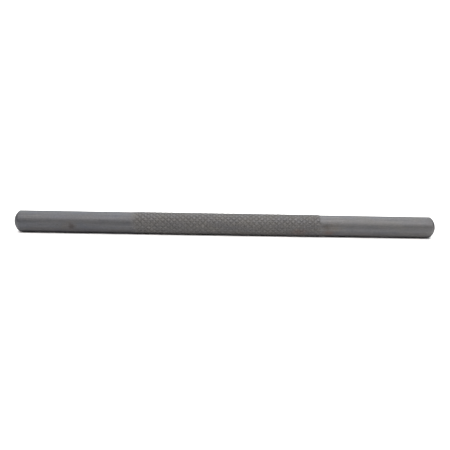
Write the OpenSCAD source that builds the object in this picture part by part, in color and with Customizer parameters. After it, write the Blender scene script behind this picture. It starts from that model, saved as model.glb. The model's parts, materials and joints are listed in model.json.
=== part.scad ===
// Round steel punch bar: one solid bar with a plain shank and a domed face at
// each end, and a diamond knurl rolled into its middle as the grip.
// Millimetres. The bar lies along X, and its middle is at the origin.

/* [Bar] */
// Overall length, over the tips of the two domes
bar_length = 200; // [170:1:300]
// Diameter of the plain shanks
shank_d = 10; // [8:0.1:13]
// Radius of the domed faces, as a share of the shank's diameter
dome_share = 0.63; // [0.55:0.01:1.5]
// Width of the bevel that breaks the edge between a dome and its shank
edge_break = 0.4; // [0.1:0.05:0.8]

/* [Knurl] */
// Length of the knurled grip
knurl_length = 88; // [60:1:120]
// Diamonds along the grip
diamonds_long = 33; // [24:1:44]
// Grooves round the bar, for each hand of the knurl
groove_starts = 13; // [11:1:16]
// How far the diamonds stand above the shank
crest_rise = 0.25; // [0.1:0.05:0.4]
// How far the grooves cut below the shank
groove_cut = 0.25; // [0.1:0.05:0.45]

/* [Hidden] */
$fn = 96;
steel = [0.4, 0.4, 0.41];

shank_r = shank_d / 2;
half_knurl = knurl_length / 2;

// A dome is part of a sphere, which meets the shank on a rim.
dome_r = dome_share * shank_d;
dome_centre = bar_length / 2 - dome_r;
rim_angle = asin(shank_r / dome_r);
rim = dome_centre + dome_r * cos(rim_angle);
// The bevel leans in by half of the turn that the rim makes.
bevel_lean = (90 - rim_angle) / 2;
bevel_foot = rim - edge_break / 2;

// The knurl is a lattice: round the bar and along it, the crossings of two
// grooves take turns with the points of the diamonds between them.
steps = 2 * groove_starts;
step_angle = 360 / steps;
rows = 2 * diamonds_long;
row_pitch = knurl_length / rows;
groove_r = shank_r - groove_cut;
crest_r = shank_r + crest_rise;
// At both ends the diamonds run out just under the shank's surface.
run_out_depth = 0.03;
run_out_r = shank_r - run_out_depth;
diamond_corners = 4;

// Half outline of the bar's end, with the bar's axis along Y
module end_outline() {
    intersection() {
        polygon([
            [0, half_knurl],
            [shank_r, half_knurl],
            [shank_r, bevel_foot],
            [0, bevel_foot + shank_r / tan(bevel_lean)]
        ]);
        union() {
            translate([0, half_knurl]) square([shank_r, dome_centre - half_knurl]);
            translate([0, dome_centre]) intersection() {
                circle(dome_r);
                square([shank_r, dome_r]);
            }
        }
    }
}

// Plain shank and its domed face, from the knurl's end to the tip at +X
module shank() {
    rotate([0, 90, 0]) rotate_extrude() end_outline();
}

// Rows of the lattice count along the bar, and its steps count round it.
function is_crossing(row, step) = (row + step) % 2 == 0;
function is_end(row) = row == 0 || row == rows;
function lattice_r(row, step) =
    is_crossing(row, step) ? groove_r : is_end(row) ? run_out_r : crest_r;
function lattice_point(row, step) =
    let (r = lattice_r(row, step), angle = step * step_angle)
    [row * row_pitch - half_knurl, r * cos(angle), r * sin(angle)];
function index(row, step) = row * steps + (step + steps) % steps;

// The flanks of one diamond. Each is a triangle from the diamond's point to two
// of its four corners, and a corner is given as its row and its step. A diamond
// in an end row has only its inner half.
function flanks(row, step) =
    let (corners = [[row - 1, step], [row, step - 1], [row + 1, step], [row, step + 1]])
    [
        for (c = [0 : diamond_corners - 1])
            let (a = corners[c], b = corners[(c + 1) % diamond_corners])
            if (min(a[0], b[0]) >= 0 && max(a[0], b[0]) <= rows)
                [index(row, step), index(a[0], a[1]), index(b[0], b[1])]
    ];

// Diamond-knurled grip
module knurl() {
    all_rows = [0 : rows];
    all_steps = [0 : steps - 1];
    first_cap = [for (step = all_steps) index(0, step)];
    last_cap = [for (step = all_steps) index(rows, -step)];
    polyhedron(
        points = [for (row = all_rows, step = all_steps) lattice_point(row, step)],
        faces = concat(
            [for (row = all_rows, step = all_steps)
                if (!is_crossing(row, step)) each flanks(row, step)],
            [first_cap, last_cap]
        )
    );
}

module punch_bar() {
    color(steel) union() {
        knurl();
        shank();
        mirror([1, 0, 0]) shank();
    }
}

punch_bar();
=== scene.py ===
import json
import math

import bpy
import numpy as np
from mathutils import Matrix, Vector


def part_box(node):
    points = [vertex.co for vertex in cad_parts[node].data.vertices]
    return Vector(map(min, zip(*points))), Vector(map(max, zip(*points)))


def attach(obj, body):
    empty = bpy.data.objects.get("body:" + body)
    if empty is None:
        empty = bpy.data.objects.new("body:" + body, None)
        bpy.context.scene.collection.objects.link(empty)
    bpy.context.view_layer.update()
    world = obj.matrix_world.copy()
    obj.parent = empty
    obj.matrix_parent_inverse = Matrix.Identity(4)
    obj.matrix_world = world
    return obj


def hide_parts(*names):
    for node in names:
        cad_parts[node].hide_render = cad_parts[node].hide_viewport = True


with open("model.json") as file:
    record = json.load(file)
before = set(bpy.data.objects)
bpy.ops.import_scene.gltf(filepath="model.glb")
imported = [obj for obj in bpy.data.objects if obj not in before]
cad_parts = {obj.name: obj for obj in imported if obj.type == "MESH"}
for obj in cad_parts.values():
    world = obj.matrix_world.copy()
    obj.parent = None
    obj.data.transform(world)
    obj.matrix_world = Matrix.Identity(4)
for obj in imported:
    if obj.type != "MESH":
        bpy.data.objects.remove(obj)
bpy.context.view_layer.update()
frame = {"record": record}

MM = 0.001

# ---------------------------------------------------------------- sizes, from the frame
low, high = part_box("punch_bar")
TIP = high.x
REST_Z = low.z
CROWN_R = high.z
MOUNTS = {mount["name"]: mount for mount in frame["record"]["mounts"]}
SHANK_R = MOUNTS["right_shank"]["dims"]["r_mm"] * MM

# The domed ends, with the edge between dome and shank broken.
DOME_R = 1.26 * SHANK_R
DOME_CENTRE = TIP - DOME_R
RIM = DOME_CENTRE + math.sqrt(DOME_R ** 2 - SHANK_R ** 2)
BROKEN_EDGE = 0.4 * MM

# The knurl: steps go round the bar, rows go along it, and one diamond is two of each.
KNURL_HALF = 0.44 * TIP
STARTS = 13
STEPS = 2 * STARTS
ROWS = 66
ROW_PITCH = 2 * KNURL_HALF / ROWS
FIRST_ROW, LAST_ROW = -2, ROWS + 1
GROOVE_R = SHANK_R - 0.1 * MM
CROWN_WEAR = 0.04 * MM
# The flank's share of the way from a groove to a diamond's middle, and how straight it is.
FLANK = 0.6
FLANK_STRAIGHT = 0.4
# Where the wheels were pressed in, gently, at the left, and lifted off, sharply, at the right.
RUN_IN = (-46.6 * MM, -42.4 * MM)
RUN_OUT = (44.2 * MM, 43.3 * MM)

# The mesh: FINE cells to a step and to a row, and rings over a dome and along a shank.
FINE = 6
COLUMNS = STEPS * FINE
DOME_RINGS = 20
SHANK_RINGS = 24

# Marks on the steel: mm along the bar, degrees up from the front, half length and width in mm.
SMUDGES = ((-72.9, -15, 1.7, 1.4), (71, 165, 3.0, 1.6), (-58, 110, 2.5, 1.5))
FAINT_SMUDGES = ((46.1, 1, 2.0, 1.2),)
BROWNED = ((-74.5, -12, 4.4, 2.8), (49.0, -4, 4.6, 3.2), (-84, 200, 6.0, 3.0), (64, 100, 4.5, 2.4))
RUST = ((34, -28, 4.6, 1.8), (47.7, -32, 3.0, 1.6), (18, 150, 4.0, 1.5), (-30, 230, 4.0, 1.8))
# Each kind of mark, and the tint that it gives the steel.
MARKS = (
    (BROWNED, (0.98, 0.94, 0.90)),
    (RUST, (1.06, 0.93, 0.88)),
    (SMUDGES, (0.72, 0.68, 0.66)),
    (FAINT_SMUDGES, (0.85, 0.82, 0.80)),
)


# ---------------------------------------------------------------- the bar's mesh
def hashed(a, b):
    """A steady pseudo-random number from 0 to 1 for each pair of whole numbers."""
    value = np.sin(a * 12.9898 + b * 78.233) * 43758.5453
    return value - np.floor(value)


def smooth_share(value, start, end):
    """0 up to the start, 1 from the end on, and an S-shaped rise between them."""
    share = np.clip((value - start) / (end - start), 0, 1)
    return share * share * (3 - 2 * share)


def groove_flank(distance):
    """Height of a groove's side, 0 in the groove and 1 on the crown, at a share of the way."""
    rise = np.clip(distance / FLANK, 0, 1)
    return FLANK_STRAIGHT * rise + (1 - FLANK_STRAIGHT) * smooth_share(rise, 0, 1)


def knurl_height(row, step):
    """Height of the knurl, from 0 in a groove to 1 on a crown, at a place on the lattice."""
    first = (row + step) % 2
    second = (row - step) % 2
    sides = [groove_flank(np.minimum(way, 2 - way)) for way in (first, second)]
    return np.minimum(sides[0], sides[1])


def crown_wear(row, step):
    """How much of a diamond's crown is worn away, from 0 to 1, the same all over one diamond."""
    rising = np.round((row + step - 1) / 2)
    falling = np.round((row - step - 1) / 2)
    return hashed(rising + falling, (rising - falling) % STEPS)


def dome_profile():
    """Points (x, radius) from next to the tip to the shank, over the dome and its broken edge."""
    rim_angle = math.asin(SHANK_R / DOME_R)
    last = rim_angle - BROKEN_EDGE / 2 / DOME_R
    angles = np.linspace(0, last, DOME_RINGS + 1)[1:]
    points = [(DOME_CENTRE + DOME_R * math.cos(a), DOME_R * math.sin(a)) for a in angles]
    top, corner, foot = points[-1], (RIM, SHANK_R), (RIM - BROKEN_EDGE / 2, SHANK_R)
    for t in (0.25, 0.5, 0.75, 1.0):
        parts = (((1 - t) ** 2, top), (2 * t * (1 - t), corner), (t * t, foot))
        points.append(tuple(sum(share * point[k] for share, point in parts) for k in (0, 1)))
    return points


def end_profile(knurl_end):
    """Points (x, radius) from next to the tip, over the dome and along the shank to the knurl."""
    dome = dome_profile()
    shank = [(x, SHANK_R) for x in np.linspace(dome[-1][0], knurl_end, SHANK_RINGS + 2)[1:-1]]
    return dome + shank


def ring_points(x, radius, angles):
    """A ring of points round the bar, at one place or radius or at one for each point."""
    return np.stack([np.full(COLUMNS, x), radius * np.cos(angles), radius * np.sin(angles)], axis=1)


def row_place(row):
    """Where a row of the knurl's lattice lies along the bar."""
    return -KNURL_HALF + row * ROW_PITCH


def knurl_rings(angles):
    """Rings of points over the knurl, and each point's knurling, height and diamond's wear."""
    column = np.arange(COLUMNS) / FINE
    rings, numbers = [], {"knurled": [], "knurl_height": [], "crown_wear": []}
    for fine_row in range(FIRST_ROW * FINE, LAST_ROW * FINE + 1):
        row = fine_row / FINE
        x = row_place(row)
        height = knurl_height(row, column)
        wear = crown_wear(row, column)
        full = GROOVE_R + (CROWN_R - CROWN_WEAR * wear - GROOVE_R) * height
        share = smooth_share(x, *RUN_IN) * smooth_share(x, *RUN_OUT)
        rings.append(ring_points(x, SHANK_R + share * (full - SHANK_R), angles))
        numbers["knurled"].append(np.full(COLUMNS, share))
        numbers["knurl_height"].append(1 - share * (1 - height))
        numbers["crown_wear"].append(0.5 + share * (wear - 0.5))
    return rings, numbers


def knurl_triangles(first_ring):
    """Two triangles for each cell of the knurl's grid, cut along the groove that runs nearest."""
    faces = []
    period = 2 * FINE
    for row in range((LAST_ROW - FIRST_ROW) * FINE):
        near, far = (first_ring + row) * COLUMNS, (first_ring + row + 1) * COLUMNS
        for column in range(COLUMNS):
            after = (column + 1) % COLUMNS
            a, b, c, d = near + column, near + after, far + after, far + column
            falling = (row + column + 1) % period
            rising = (row - column) % period
            if min(falling, period - falling) < min(rising, period - rising):
                faces += [(a, b, d), (b, c, d)]
            else:
                faces += [(a, b, c), (a, c, d)]
    return faces


def plain_quads(first_ring, last_ring):
    """The quads that join each ring to the next one."""
    faces = []
    for ring in range(first_ring, last_ring):
        near, far = ring * COLUMNS, (ring + 1) * COLUMNS
        for column in range(COLUMNS):
            after = (column + 1) % COLUMNS
            faces.append((near + column, near + after, far + after, far + column))
    return faces


def tip_fans(last_ring, left_tip, right_tip):
    """The triangles that close both ends, round the points at the tips."""
    faces = []
    for column in range(COLUMNS):
        after = (column + 1) % COLUMNS
        faces.append((left_tip, after, column))
        faces.append((right_tip, last_ring * COLUMNS + column, last_ring * COLUMNS + after))
    return faces


def keep_numbers(mesh, name, rings, plain, before, after):
    """Store a number for each point, plain on the shanks and tips."""
    numbers = [np.full(COLUMNS, plain)] * before + rings + [np.full(COLUMNS, plain)] * after
    numbers = np.concatenate(numbers + [np.full(2, plain)]).astype(np.float32)
    mesh.attributes.new(name, "FLOAT", "POINT").data.foreach_set("value", numbers)


def bar_mesh():
    """The whole bar as one closed mesh."""
    angles = 2 * math.pi * np.arange(COLUMNS) / COLUMNS
    left = [ring_points(-x, r, angles) for x, r in end_profile(-row_place(FIRST_ROW))]
    right = [ring_points(x, r, angles) for x, r in end_profile(row_place(LAST_ROW))][::-1]
    middle, numbers = knurl_rings(angles)
    rings = left + middle + right
    points = np.concatenate(rings + [np.array([[-TIP, 0, 0], [TIP, 0, 0]])])

    last = len(rings) - 1
    knurl_first, knurl_last = len(left), len(left) + len(middle) - 1
    faces = plain_quads(0, knurl_first) + knurl_triangles(knurl_first) + plain_quads(knurl_last, last)
    faces += tip_fans(last, len(points) - 2, len(points) - 1)

    mesh = bpy.data.meshes.new("punch_bar_steel")
    mesh.from_pydata(points.tolist(), [], faces)
    for name, plain in (("knurled", 0.0), ("knurl_height", 1.0), ("crown_wear", 0.5)):
        keep_numbers(mesh, name, numbers[name], plain, len(left), len(right))
    mesh.shade_smooth()
    mesh.update()
    return mesh


# ---------------------------------------------------------------- materials
class Nodes:
    """Short names for making and joining a shader's nodes."""

    def __init__(self, owner):
        owner.use_nodes = True
        self.tree = owner.node_tree
        self.tree.nodes.clear()
        self.place = None  # where a pattern is looked up, which a material sets first

    def add(self, kind, **settings):
        node = self.tree.nodes.new(kind)
        for name, value in settings.items():
            setattr(node, name, value)
        return node

    def join(self, source, target):
        self.tree.links.new(source, target)

    def feed(self, value, socket):
        """Put a number, a colour or another node's output into a socket."""
        if isinstance(value, (int, float)):
            socket.default_value = value
        elif isinstance(value, tuple):
            socket.default_value = (*value, 1)[:len(socket.default_value)]
        else:
            self.join(value, socket)

    def math(self, operation, a, b=0.0):
        node = self.add("ShaderNodeMath", operation=operation)
        self.feed(a, node.inputs[0])
        self.feed(b, node.inputs[1])
        return node.outputs[0]

    def vector(self, operation, a, b=(0, 0, 0)):
        node = self.add("ShaderNodeVectorMath", operation=operation)
        self.feed(a, node.inputs[0])
        self.feed(b, node.inputs[1])
        return node.outputs["Value" if operation == "LENGTH" else "Vector"]

    def mix(self, share, a, b, blend="MIX"):
        node = self.add("ShaderNodeMix", data_type="RGBA", blend_type=blend)
        self.feed(share, node.inputs[0])
        self.feed(a, node.inputs[6])
        self.feed(b, node.inputs[7])
        return node.outputs[2]

    def tint(self, colour, share, by):
        """Multiply a colour by another one, as far as the share says."""
        return self.mix(share, colour, by, "MULTIPLY")

    def spread(self, value, low, high, out_low=0.0, out_high=1.0):
        """Carry a number smoothly from one range to another."""
        node = self.add("ShaderNodeMapRange", interpolation_type="SMOOTHSTEP")
        self.feed(value, node.inputs["Value"])
        self.feed(low, node.inputs["From Min"])
        self.feed(high, node.inputs["From Max"])
        self.feed(out_low, node.inputs["To Min"])
        self.feed(out_high, node.inputs["To Max"])
        return node.outputs["Result"]

    def number(self, name):
        """A number kept at the mesh's points."""
        return self.add("ShaderNodeAttribute", attribute_name=name).outputs["Fac"]

    def noise(self, size, stretch=1.0, detail=3.0, rough=0.5, shift=0.0, lean=0.0):
        """Noise with features of a size in metres, drawn out along the bar or leaning off it."""
        mapping = self.add("ShaderNodeMapping")
        self.feed((1 / stretch, 1.0, 1.0), mapping.inputs["Scale"])
        self.feed((shift, shift, shift), mapping.inputs["Location"])
        turned = self.add("ShaderNodeVectorRotate", rotation_type="Y_AXIS")
        self.join(self.place, turned.inputs["Vector"])
        self.feed(math.radians(lean), turned.inputs["Angle"])
        self.join(turned.outputs[0], mapping.inputs["Vector"])
        node = self.add("ShaderNodeTexNoise")
        self.join(mapping.outputs[0], node.inputs["Vector"])
        self.feed(1 / size, node.inputs["Scale"])
        self.feed(detail, node.inputs["Detail"])
        self.feed(rough, node.inputs["Roughness"])
        return node.outputs["Fac"]

    def pits(self, spacing):
        """Small round marks scattered over the steel, few of them deep."""
        node = self.add("ShaderNodeTexVoronoi")
        self.join(self.place, node.inputs["Vector"])
        self.feed(1 / spacing, node.inputs["Scale"])
        lot = self.add("ShaderNodeSeparateXYZ")
        self.join(node.outputs["Color"], lot.inputs[0])
        depth = self.spread(lot.outputs["X"], 0.45, 1.0)
        return self.math("MULTIPLY", self.spread(node.outputs["Distance"], 0.16, 0.06), depth)


def marks(n, places, ragged):
    """A share that is 1 in the middle of each mark and fades out at its ragged edge."""
    share = 0.0
    for along, up, half_length, half_width in places:
        angle = math.radians(up)
        centre = (along * MM, -SHANK_R * math.cos(angle), SHANK_R * math.sin(angle))
        reach = (1 / (half_length * MM), 1 / (half_width * MM), 1 / (half_width * MM))
        away = n.vector("LENGTH", n.vector("MULTIPLY", n.vector("SUBTRACT", n.place, centre), reach))
        here = n.spread(n.math("ADD", away, ragged), 1.25, 0.35)
        share = n.math("MAXIMUM", share, here)
    return share


def body_colour(n, x, knurled):
    """Cool grey at the left, neutral and lighter at the right, warmer over the knurl."""
    drift = n.spread(x, -KNURL_HALF, KNURL_HALF)
    shank = n.mix(drift, (0.083, 0.083, 0.088), (0.104, 0.102, 0.104))
    grip = n.mix(drift, (0.104, 0.100, 0.099), (0.109, 0.105, 0.104))
    return n.mix(knurled, shank, grip)


def scratches(n):
    """Thin marks at several slants, a few of them deep."""
    share = 0.0
    for lean, shift in ((9, 0.11), (-24, 0.23), (57, 0.37)):
        line = n.noise(0.35 * MM, stretch=22, detail=1, shift=shift, lean=lean)
        share = n.math("MAXIMUM", share, n.spread(line, 0.67, 0.78))
    return share


def worn_colour(n, colour, streaks, mottle, speckle):
    """Lengthwise drawing lines, cloudy oxide with a blue and a brown side, and fine speckle."""
    fine = n.noise(0.22 * MM, stretch=90, detail=2, rough=0.6, shift=0.53)
    colour = n.tint(colour, 1.0, n.mix(n.spread(fine, 0.3, 0.7), (0.93, 0.93, 0.93), (1.07, 1.07, 1.07)))
    lines = n.mix(n.spread(streaks, 0.3, 0.7), (0.94, 0.94, 0.95), (1.06, 1.06, 1.05))
    clouds = n.mix(n.spread(mottle, 0.3, 0.7), (0.89, 0.90, 0.93), (1.11, 1.10, 1.07))
    specks = n.mix(n.spread(speckle, 0.3, 0.7), (0.91, 0.91, 0.91), (1.09, 1.09, 1.09))
    for layer in (lines, clouds, specks):
        colour = n.tint(colour, 1.0, layer)
    return colour


def marked_colour(n, colour):
    """Browned areas, a little rust, and darker smudges."""
    ragged = n.spread(n.noise(1.1 * MM, detail=4, rough=0.65), 0.2, 0.8, -0.5, 0.5)
    for places, tint in MARKS:
        colour = n.tint(colour, marks(n, places, ragged), tint)
    return colour


def rim_wear_and_highlight(n, x, mottle):
    """A share that is high at the rims of the domes, which are rubbed bright and carry a painted
    highlight.
    """
    off_rim = n.math("SUBTRACT", n.math("ABSOLUTE", x), RIM - 0.15 * MM)
    on_rim = n.spread(n.math("ABSOLUTE", off_rim), 0.35 * MM, 0.05 * MM)
    return n.math("MULTIPLY", on_rim, mottle)


def knurl_colour(n, colour, height, wear, mottle):
    """Diamonds that differ a little from each other, and the grooves between them painted darker."""
    colour = n.tint(colour, 1.0, n.mix(wear, (0.96, 0.96, 0.96), (1.04, 1.04, 1.04)))
    # The grooves are painted a darker brown-grey, more in some places than in others.
    groove = n.spread(height, 0.75, 0.0)
    groove_darkening = n.math("MULTIPLY", groove, n.spread(mottle, 0.2, 0.8, 0.1, 0.35))
    return n.mix(groove_darkening, colour, (0.050, 0.046, 0.043))


def steel_material():
    """Dark drawn steel, oiled and handled, with the knurl's grooves painted darker."""
    material = bpy.data.materials.new("dark_drawn_steel")
    n = Nodes(material)
    n.place = n.add("ShaderNodeTexCoord").outputs["Object"]
    where = n.add("ShaderNodeSeparateXYZ")
    n.join(n.place, where.inputs[0])
    x = where.outputs["X"]
    knurled, height, wear = [n.number(name) for name in ("knurled", "knurl_height", "crown_wear")]

    streaks = n.noise(0.8 * MM, stretch=60, detail=3, rough=0.55)
    mottle = n.noise(3.2 * MM, stretch=2.2, detail=5, rough=0.6, shift=0.31)
    speckle = n.noise(0.45 * MM, stretch=1.5, detail=2, rough=0.6)
    colour = worn_colour(n, body_colour(n, x, knurled), streaks, mottle, speckle)

    colour = marked_colour(n, colour)
    scored = scratches(n)
    colour = n.tint(colour, scored, (1.22, 1.22, 1.22))
    pits = n.pits(2.2 * MM)
    colour = n.tint(colour, pits, (0.70, 0.67, 0.65))
    # The domes' rims are lightened: partly steel worn bright, partly a painted highlight.
    colour = n.tint(colour, rim_wear_and_highlight(n, x, mottle), (1.2, 1.2, 1.2))
    # The knurl's grooves are painted darker here.
    colour = knurl_colour(n, colour, height, wear, mottle)

    shader = n.add("ShaderNodeBsdfPrincipled")
    n.feed(1.0, shader.inputs["Metallic"])
    n.feed((0.75, 0.75, 0.75), shader.inputs["Specular Tint"])
    n.join(colour, shader.inputs["Base Color"])
    rough = n.math("ADD", n.spread(mottle, 0.2, 0.8, 0.50, 0.62), n.math("MULTIPLY", knurled, 0.06))
    n.join(rough, shader.inputs["Roughness"])

    bump = n.add("ShaderNodeBump")
    n.feed(0.5, bump.inputs["Strength"])
    n.feed(0.02 * MM, bump.inputs["Distance"])
    cuts = n.math("MAXIMUM", pits, scored)
    n.join(n.math("SUBTRACT", steel_relief(n, x, speckle), cuts), bump.inputs["Height"])
    n.join(bump.outputs[0], shader.inputs["Normal"])
    n.join(shader.outputs[0], n.add("ShaderNodeOutputMaterial").inputs[0])
    return material


def steel_relief(n, x, speckle):
    """Fine lines along the bar, turned rings on the domed ends, and a light grain over both."""
    lines = n.noise(0.3 * MM, stretch=40, detail=3, rough=0.6)
    off_axis = n.vector("LENGTH", n.vector("MULTIPLY", n.place, (0, 1, 1)))
    rings = n.add("ShaderNodeTexNoise", noise_dimensions="1D")
    n.join(off_axis, rings.inputs["W"])
    n.feed(1 / (0.4 * MM), rings.inputs["Scale"])
    on_dome = n.spread(n.math("ABSOLUTE", x), RIM - 0.1 * MM, RIM + 0.1 * MM)
    relief = n.mix(on_dome, lines, rings.outputs["Fac"])
    return n.math("ADD", n.math("MULTIPLY", relief, 0.7), n.math("MULTIPLY", speckle, 0.5))


def floor_material():
    """Plain white paper."""
    material = bpy.data.materials.new("white_floor")
    n = Nodes(material)
    shader = n.add("ShaderNodeBsdfPrincipled")
    n.feed((0.86, 0.86, 0.86), shader.inputs["Base Color"])
    n.feed(0.9, shader.inputs["Roughness"])
    n.feed(0.0, shader.inputs["Specular IOR Level"])
    n.join(shader.outputs[0], n.add("ShaderNodeOutputMaterial").inputs[0])
    return material


# ---------------------------------------------------------------- stage
WARM, COOL = (1.0, 0.975, 0.96), (0.965, 0.99, 1.0)
# Each soft light's name, strength, the way that it shines, and colour.
SOFT_LIGHTS = (
    ("front_light", 2.75, (0, 0.53, -0.85), WARM),
    ("back_light", 2.45, (0, -0.5, -0.86), COOL),
    ("left_back_light", 0.6, (0.75, -0.35, -0.4), WARM),
    ("left_front_light", 0.8, (0.65, 0.45, -0.6), WARM),
    ("right_back_light", 0.5, (-0.6, -0.3, -0.65), COOL),
    ("right_front_light", 0.9, (-0.65, 0.45, -0.6), COOL),
)


def place(name, data):
    """Put a new object with this data into the scene."""
    thing = bpy.data.objects.new(name, data)
    bpy.context.scene.collection.objects.link(thing)
    return thing


def make_bar():
    """The bar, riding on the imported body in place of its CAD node."""
    bar = place("punch_bar_steel", bar_mesh())
    bar.data.materials.append(steel_material())
    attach(bar, "root")
    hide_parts("punch_bar")


def make_floor():
    """A wide flat floor, just under the bar at rest."""
    half = 40 * TIP
    mesh = bpy.data.meshes.new("floor")
    corners = [(-half, -half, REST_Z), (half, -half, REST_Z), (half, half, REST_Z), (-half, half, REST_Z)]
    mesh.from_pydata(corners, [], [(0, 1, 2, 3)])
    mesh.materials.append(floor_material())
    floor = place("floor", mesh)
    return floor


def make_sun(name, strength, width, towards, colour):
    """A soft distant light, the same everywhere, as wide as its angle in degrees says."""
    light = bpy.data.lights.new(name, "SUN")
    light.energy = strength
    light.color = colour
    light.angle = math.radians(width)
    lamp = place(name, light)
    lamp.rotation_mode = "QUATERNION"
    lamp.rotation_quaternion = Vector(towards).to_track_quat("-Z", "Y")
    return lamp


def make_lights(floor):
    """Soft lights in front, behind and at both ends, and a fill for the floor alone."""
    for name, strength, towards, colour in SOFT_LIGHTS:
        make_sun(name, strength, 50, towards, colour)
    fill = make_sun("floor_fill", 0.9, 20, (0, 0.58, -0.81), WARM)
    lit = bpy.data.collections.new("lit_by_floor_fill")
    lit.objects.link(floor)
    fill.light_linking.receiver_collection = lit


def make_world():
    """A soft light overhead and a dimmer one behind the bar, with a plain white background."""
    world = bpy.data.worlds.new("studio")
    bpy.context.scene.world = world
    n = Nodes(world)
    way = n.add("ShaderNodeSeparateXYZ")
    n.join(n.add("ShaderNodeTexCoord").outputs["Generated"], way.inputs[0])
    light = n.add("ShaderNodeBackground")
    n.feed((0.97, 0.99, 1.0), light.inputs["Color"])
    above = n.spread(way.outputs["Z"], 0.7, 0.9, 0.0, 0.65)
    behind = n.spread(way.outputs["Y"], 0.1, 0.9, 0.0, 0.75)
    n.join(n.math("ADD", above, behind), light.inputs["Strength"])
    backdrop = n.add("ShaderNodeBackground")
    n.feed((1, 1, 1), backdrop.inputs["Color"])
    n.feed(1.1, backdrop.inputs["Strength"])
    both = n.add("ShaderNodeMixShader")
    n.join(n.add("ShaderNodeLightPath").outputs["Is Camera Ray"], both.inputs[0])
    n.join(light.outputs[0], both.inputs[1])
    n.join(backdrop.outputs[0], both.inputs[2])
    n.join(both.outputs[0], n.add("ShaderNodeOutputWorld").inputs[0])


def make_camera():
    """A close camera a little above the bar, with the bar's left end slightly nearer."""
    distance = 3.0 * TIP
    aim = Vector((-0.01307 * TIP, 0, -0.0044 * TIP))
    azimuth, elevation, roll = math.radians(-2.75), math.radians(12), math.radians(1.509)
    flat = math.cos(elevation)
    back = Vector((math.sin(azimuth) * flat, -math.cos(azimuth) * flat, math.sin(elevation)))
    data = bpy.data.cameras.new("camera")
    data.sensor_width = 36
    data.lens = 50.37
    data.clip_start, data.clip_end = 0.1 * TIP, 200 * TIP
    camera = place("camera", data)
    camera.rotation_mode = "QUATERNION"
    camera.location = aim + distance * back
    turn = Matrix.Rotation(roll, 3, "Z").to_quaternion()
    camera.rotation_quaternion = (-back).to_track_quat("-Z", "Y") @ turn
    bpy.context.scene.camera = camera


make_camera()
make_bar()
make_lights(make_floor())
make_world()
bpy.context.scene.view_settings.view_transform = "Standard"
